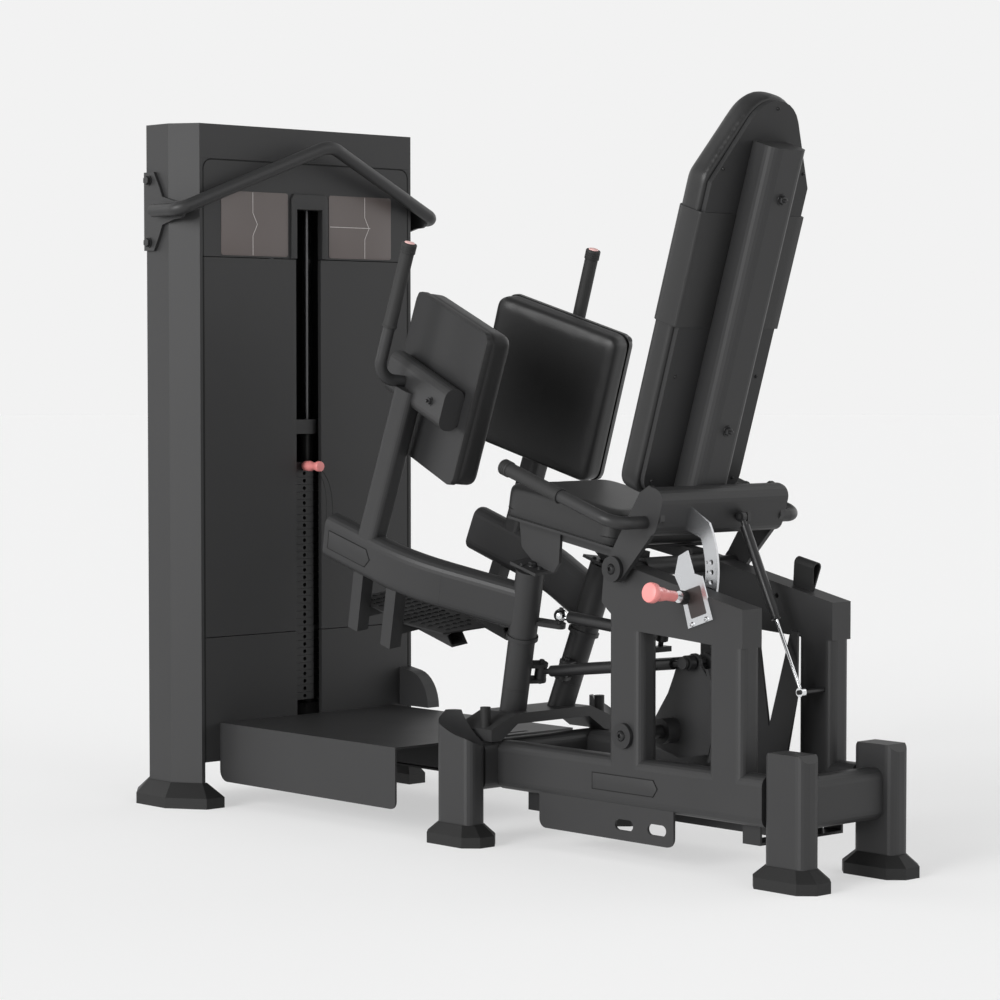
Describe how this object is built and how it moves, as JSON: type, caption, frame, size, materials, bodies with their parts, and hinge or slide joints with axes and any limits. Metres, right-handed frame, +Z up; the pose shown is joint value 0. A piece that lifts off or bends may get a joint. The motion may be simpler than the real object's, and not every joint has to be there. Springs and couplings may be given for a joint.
{
  "type": "hip_abductor_machine",
  "caption": "Seated hip abductor machine with a weight-stack tower, two outward-swinging arms with thigh pads and footrests, padded seat and reclining backrest.",
  "frame": {"origin": "On the floor, at the centre of the machine's length and width.", "axes": "+X to the user's right, +Y from the seat towards the weight tower, +Z up."},
  "size_m": [0.8504, 2.092, 1.6795],
  "materials": {
    "powder_coat": "satin",
    "black_metal": "satin",
    "chrome_steel": "polished",
    "zinc_steel": "satin",
    "black_rubber": "matte",
    "upholstery": "satin",
    "back_shell_plastic": "matte",
    "salmon_plastic": "gloss"
  },
  "bodies": {
    "frame": {"tower_frame": "powder_coat", "tower_cap": "powder_coat", "upper_panel": "powder_coat", "front_panels": "powder_coat", "rear_panel": "powder_coat", "guide_rods": "chrome_steel", "weight_plates": "black_metal", "foot_pads": "black_rubber", "pull_bar": "powder_coat", "side_guard": "powder_coat", "platform": "powder_coat", "frame_rails": "powder_coat", "frame_legs": "powder_coat", "crossbars": "powder_coat", "pivot_bridge": "powder_coat", "pivot_shafts": "powder_coat", "rubber_stops": "black_rubber", "side_frame_left": "powder_coat", "side_frame_right": "powder_coat", "axles": "black_metal", "floor_brackets": "powder_coat", "guard_plates": "black_metal", "strap_loop": "black_rubber", "seat_frame": "powder_coat", "seat_cushion": "upholstery", "lock_bracket": "zinc_steel", "frame_bolts": "black_metal", "drive_belt": "black_rubber"},
    "weight_stack": {"stack_head": "black_metal", "selector_rod": "chrome_steel"},
    "lift_belt": {"stack_belt": "black_rubber"},
    "pin": {"selector_pin": "chrome_steel", "selector_knob": "salmon_plastic", "pin_lanyard": "black_rubber"},
    "upper_pulley": {"head_pulley": "black_metal"},
    "lower_pulley": {"base_pulley": "black_metal"},
    "left_arm": {"arm_left": "powder_coat", "pad_shell_left": "back_shell_plastic", "pad_cushion_left": "upholstery", "grip_left": "black_rubber", "footrest_left": "black_metal"},
    "right_arm": {"arm_right": "powder_coat", "pad_shell_right": "back_shell_plastic", "pad_cushion_right": "upholstery", "grip_right": "black_rubber", "footrest_right": "black_metal"},
    "rocker_lever": {"rocker": "powder_coat"},
    "left_link": {"link_left": "black_metal"},
    "right_link": {"link_right": "black_metal"},
    "damper_tube": {"damper_body": "black_metal"},
    "damper_piston": {"damper_rod": "chrome_steel"},
    "backrest": {"back_frame": "powder_coat", "back_sector": "zinc_steel", "back_shell": "back_shell_plastic", "back_cushion": "upholstery", "hip_grips": "black_rubber"},
    "strut_tube": {"strut_body": "black_metal"},
    "strut_piston": {"strut_rod": "chrome_steel"},
    "back_lock": {"lock_knob": "salmon_plastic"}
  },
  "joints": [
    {"name": "arm_left_swing", "type": "hinge", "parent": "frame", "child": "left_arm", "pos_m": [-0.0767, -0.039, 0.291], "axis": [-0.116, -0.2924, 0.9492], "range_deg": [0, 36]},
    {"name": "arm_right_swing", "type": "hinge", "parent": "frame", "child": "right_arm", "pos_m": [0.0767, -0.039, 0.291], "axis": [-0.116, 0.2924, -0.9492], "range_deg": [0, 36]},
    {"name": "rocker_tilt", "type": "hinge", "parent": "frame", "child": "rocker_lever", "pos_m": [0, -0.496, 0.281], "axis": [-1, 0, 0], "range_deg": [0, 13]},
    {"name": "link_left_turn", "type": "hinge", "parent": "left_arm", "child": "left_link", "pos_m": [-0.03651, -0.08941, 0.38047], "axis": [-0.116, -0.2924, 0.9492], "range_deg": [-40, 0]},
    {"name": "link_right_turn", "type": "hinge", "parent": "right_arm", "child": "right_link", "pos_m": [0.03651, -0.08941, 0.38047], "axis": [-0.116, 0.2924, -0.9492], "range_deg": [-40, 0]},
    {"name": "damper_tube_turn", "type": "hinge", "parent": "frame", "child": "damper_tube", "pos_m": [-0.06, -0.501, 0.492], "axis": [-0.116, -0.2924, 0.9492], "range_deg": [-8, 0]},
    {"name": "damper_piston_turn", "type": "hinge", "parent": "left_arm", "child": "damper_piston", "pos_m": [-0.0519, -0.17138, 0.51663], "axis": [-0.116, -0.2924, 0.9492], "range_deg": [-44, 0]},
    {"name": "stack_lift", "type": "slide", "parent": "frame", "child": "weight_stack", "axis": [0, 0, 1], "range_m": [0, 0.125]},
    {"name": "belt_shorten", "type": "slide", "parent": "frame", "child": "lift_belt", "axis": [0, 0, 1], "range_m": [0, 0.125], "deforming": ["stack_belt"]},
    {"name": "upper_pulley_turn", "type": "hinge", "parent": "frame", "child": "upper_pulley", "pos_m": [0, 0.925, 1.53], "axis": [1, 0, 0], "range_deg": [-160, 0]},
    {"name": "lower_pulley_turn", "type": "hinge", "parent": "frame", "child": "lower_pulley", "pos_m": [0, 0.925, 0.157], "axis": [1, 0, 0], "range_deg": [-160, 0]},
    {"name": "pin_pull", "type": "slide", "parent": "weight_stack", "child": "pin", "axis": [0, -1, 0], "range_m": [0, 0.075]},
    {"name": "back_recline", "type": "hinge", "parent": "frame", "child": "backrest", "pos_m": [0, -0.489, 0.645], "axis": [1, 0, 0], "range_deg": [0, 24]},
    {"name": "strut_tube_turn", "type": "hinge", "parent": "backrest", "child": "strut_tube", "pos_m": [0.04, -0.645, 0.756], "axis": [1, 0, 0], "range_deg": [-26, 0]},
    {"name": "strut_piston_turn", "type": "hinge", "parent": "frame", "child": "strut_piston", "pos_m": [0.04, -0.82, 0.386], "axis": [1, 0, 0], "range_deg": [-2, 2]},
    {"name": "lock_pull", "type": "slide", "parent": "frame", "child": "back_lock", "axis": [-0.9877, 0, 0.1564], "range_m": [-0.012, 0]}
  ],
  "couplings": [
    {"joint": "arm_right_swing", "follows": "arm_left_swing", "ratio": 1},
    {"joint": "rocker_tilt", "follows": "arm_left_swing", "ratio": 0.3255},
    {"joint": "link_left_turn", "follows": "arm_left_swing", "ratio": -1.0182},
    {"joint": "link_right_turn", "follows": "arm_left_swing", "ratio": -1.0182},
    {"joint": "damper_tube_turn", "follows": "arm_left_swing", "ratio": -0.126},
    {"joint": "damper_piston_turn", "follows": "arm_left_swing", "ratio": -1.126},
    {"joint": "stack_lift", "follows": "arm_left_swing", "m_per_rad": 0.19099},
    {"joint": "belt_shorten", "follows": "arm_left_swing", "m_per_rad": 0.19099},
    {"joint": "upper_pulley_turn", "follows": "arm_left_swing", "ratio": -4.2441},
    {"joint": "lower_pulley_turn", "follows": "arm_left_swing", "ratio": -4.2441},
    {"joint": "strut_tube_turn", "follows": "back_recline", "ratio": -0.9982},
    {"joint": "strut_piston_turn", "follows": "back_recline", "ratio": 0.0018}
  ]
}
